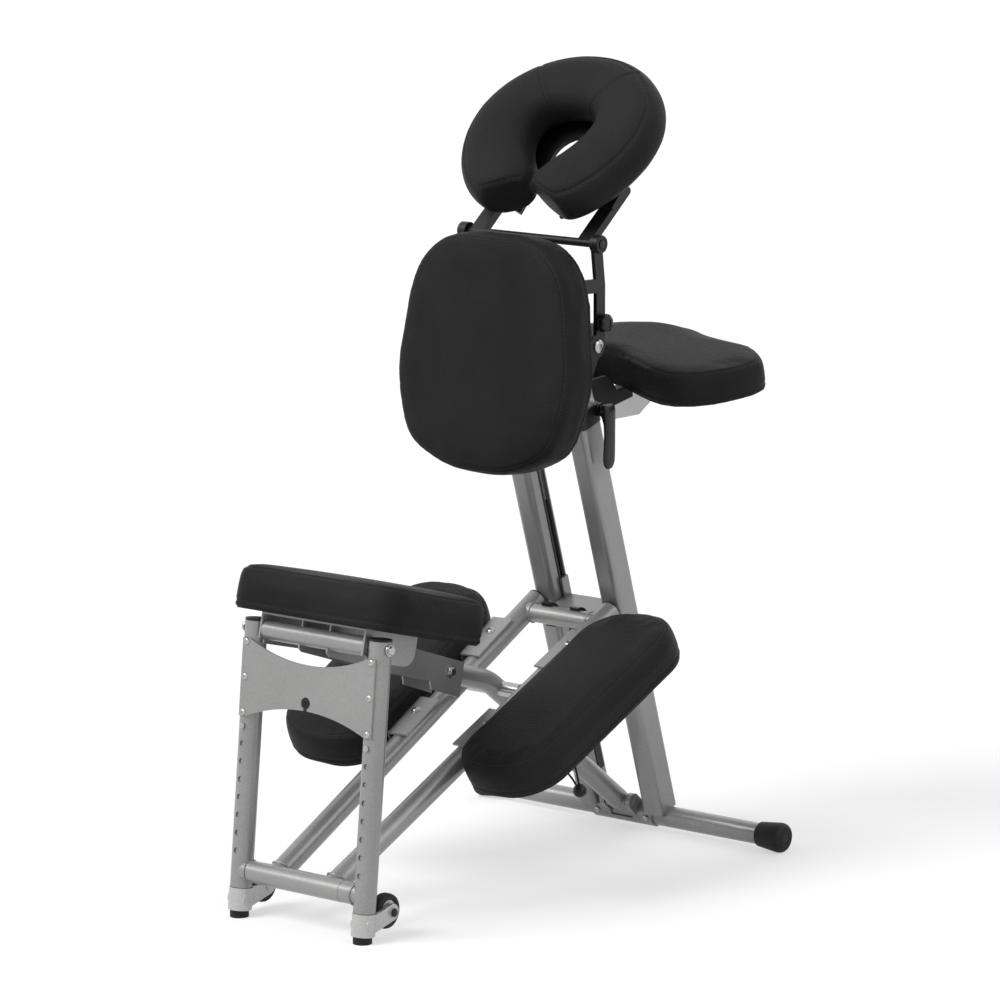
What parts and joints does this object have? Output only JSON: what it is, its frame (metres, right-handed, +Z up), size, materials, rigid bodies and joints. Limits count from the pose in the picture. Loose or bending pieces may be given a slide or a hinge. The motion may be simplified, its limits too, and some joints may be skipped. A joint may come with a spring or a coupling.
{
  "type": "folding massage chair",
  "caption": "Folding massage chair: a leaning slotted mast and a scissor seat frame carry padded knee, seat, chest, armrest and horseshoe face cushions.",
  "frame": {"origin": "on the floor, below the middle of the bounding box at rest", "axes": "+X across the chair, right in the picture; +Y the way the sitter faces, from the rear feet to the base tube; +Z up"},
  "size_m": [0.58, 0.8655, 1.1667],
  "materials": {
    "frame": "satin",
    "dark_frame": "satin",
    "casting": "polished",
    "zinc": "satin",
    "plastic": "matte",
    "rubber": "matte",
    "board": "matte",
    "vinyl": "satin",
    "cord": "matte"
  },
  "bodies": {
    "base": {"base_tube": "frame", "base_end_caps": "rubber", "base_saddle": "frame", "upright_left": "frame", "upright_right": "frame", "slot_strips": "plastic", "upright_collars": "plastic", "armrest_hinge_tube": "frame"},
    "hinge_carriage": {"hinge_plate": "frame", "carriage_bearings": "plastic"},
    "knee_frame": {"knee_tube_left": "frame", "knee_tube_right": "frame", "knee_tube_caps": "plastic", "knee_crossbar": "frame", "lower_sleeve": "frame", "knee_brackets": "frame", "knee_frame_bolts": "zinc", "knee_boards": "board", "knee_pad_left": "vinyl", "knee_pad_right": "vinyl"},
    "seat_arm": {"seat_arm_tube": "frame", "pivot_bushes": "plastic", "elastic_cord": "cord", "cord_ball": "plastic"},
    "seat": {"seat_channel": "frame", "seat_pan": "frame", "seat_cross_tube": "frame", "seat_board": "board", "seat_pad": "vinyl", "seat_pivot_bolt": "zinc"},
    "rear_frame": {"rear_post_left": "frame", "rear_post_right": "frame", "rear_post_caps": "plastic", "rear_panel": "frame", "rear_frame_fasteners": "zinc", "lower_crossbar": "frame"},
    "leg_left": {"leg_tube_left": "frame", "foot_casting_left": "casting", "rubber_foot_left": "rubber"},
    "leg_right": {"leg_tube_right": "frame", "foot_casting_right": "casting", "rubber_foot_right": "rubber"},
    "wheel_left": {"wheel_left": "plastic"},
    "wheel_right": {"wheel_right": "plastic"},
    "snap_button_left_body": {"snap_button_left": "casting"},
    "snap_button_right_body": {"snap_button_right": "casting"},
    "mast": {"mast_frame": "casting", "tilt_bolts": "zinc"},
    "cam_left": {"cam_lever_left": "plastic"},
    "cam_right": {"cam_lever_right": "plastic"},
    "chest": {"chest_rails": "dark_frame", "chest_board": "board", "chest_pad": "vinyl"},
    "tilt_knob": {"tilt_knob": "plastic"},
    "armrest": {"armrest_bracket": "casting", "armrest_board": "board", "armrest_pad": "vinyl"},
    "cradle_arms": {"cradle_arms": "dark_frame"},
    "face_rest": {"cradle_platform": "plastic", "face_cushion": "vinyl"}
  },
  "joints": [
    {"name": "fold", "type": "hinge", "parent": "hinge_carriage", "child": "knee_frame", "pos_m": [0, 0.17694, 0.34596], "axis": [1, 0, 0], "range_deg": [0, 75]},
    {"name": "carriage_slide", "type": "slide", "parent": "base", "child": "hinge_carriage", "axis": [0, -0.3007, 0.9537], "range_m": [0, 0.21285]},
    {"name": "seat_arm_pivot", "type": "hinge", "parent": "knee_frame", "child": "seat_arm", "pos_m": [0, 0.01891, 0.26799], "axis": [1, 0, 0], "range_deg": [-101.24, 0]},
    {"name": "rear_frame_pivot", "type": "hinge", "parent": "knee_frame", "child": "rear_frame", "pos_m": [0, -0.41037, 0.06606], "axis": [1, 0, 0], "range_deg": [-39.7, 0]},
    {"name": "seat_pivot", "type": "hinge", "parent": "seat_arm", "child": "seat", "pos_m": [0, -0.1168, 0.31877], "axis": [1, 0, 0], "range_deg": [0, 138.18]},
    {"name": "leg_left_extend", "type": "slide", "parent": "rear_frame", "child": "leg_left", "axis": [0, -0.1011, -0.9949], "range_m": [0, 0.1524]},
    {"name": "leg_right_extend", "type": "slide", "parent": "rear_frame", "child": "leg_right", "axis": [0, -0.1011, -0.9949], "range_m": [0, 0.1524]},
    {"name": "wheel_left_spin", "type": "hinge", "parent": "leg_left", "child": "wheel_left", "pos_m": [-0.113, -0.36908, 0.036], "axis": [1, 0, 0], "continuous": true},
    {"name": "wheel_right_spin", "type": "hinge", "parent": "leg_right", "child": "wheel_right", "pos_m": [0.113, -0.36908, 0.036], "axis": [1, 0, 0], "continuous": true},
    {"name": "button_left_press", "type": "slide", "parent": "leg_left", "child": "snap_button_left_body", "axis": [0, 0.9949, -0.1011], "range_m": [0, 0.004], "stiffness_N_per_m": 300},
    {"name": "button_right_press", "type": "slide", "parent": "leg_right", "child": "snap_button_right_body", "axis": [0, 0.9949, -0.1011], "range_m": [0, 0.004], "stiffness_N_per_m": 300},
    {"name": "mast_height", "type": "slide", "parent": "base", "child": "mast", "axis": [0, -0.3007, 0.9537], "range_m": [0, 0.07]},
    {"name": "cam_left_open", "type": "hinge", "parent": "base", "child": "cam_left", "pos_m": [-0.0955, 0.15892, 0.667], "axis": [0, 1, 0], "range_deg": [0, 110]},
    {"name": "cam_right_open", "type": "hinge", "parent": "base", "child": "cam_right", "pos_m": [0.0955, 0.15892, 0.667], "axis": [0, -1, 0], "range_deg": [0, 110]},
    {"name": "chest_tilt", "type": "hinge", "parent": "mast", "child": "chest", "pos_m": [0, 0.10419, 0.76959], "axis": [1, 0, 0], "range_deg": [-12, 15]},
    {"name": "tilt_knob_turn", "type": "hinge", "parent": "chest", "child": "tilt_knob", "pos_m": [0.117, 0.11092, 0.803], "axis": [1, 0, 0], "continuous": true},
    {"name": "armrest_fold", "type": "hinge", "parent": "base", "child": "armrest", "pos_m": [0, 0.18292, 0.668], "axis": [1, 0, 0], "range_deg": [-80, 0]},
    {"name": "cradle_tilt", "type": "hinge", "parent": "chest", "child": "cradle_arms", "pos_m": [0, 0.10292, 0.917], "axis": [1, 0, 0], "range_deg": [-20, 30]},
    {"name": "cradle_head_tilt", "type": "hinge", "parent": "cradle_arms", "child": "face_rest", "pos_m": [0, 0.18768, 0.98394], "axis": [1, 0, 0], "range_deg": [-25, 0]}
  ],
  "couplings": [
    {"joint": "carriage_slide", "follows": "fold", "m_per_rad": 0.16259},
    {"joint": "seat_arm_pivot", "follows": "fold", "ratio": -1.3497},
    {"joint": "rear_frame_pivot", "follows": "fold", "ratio": -0.52927},
    {"joint": "seat_pivot", "follows": "fold", "ratio": 1.8422}
  ]
}
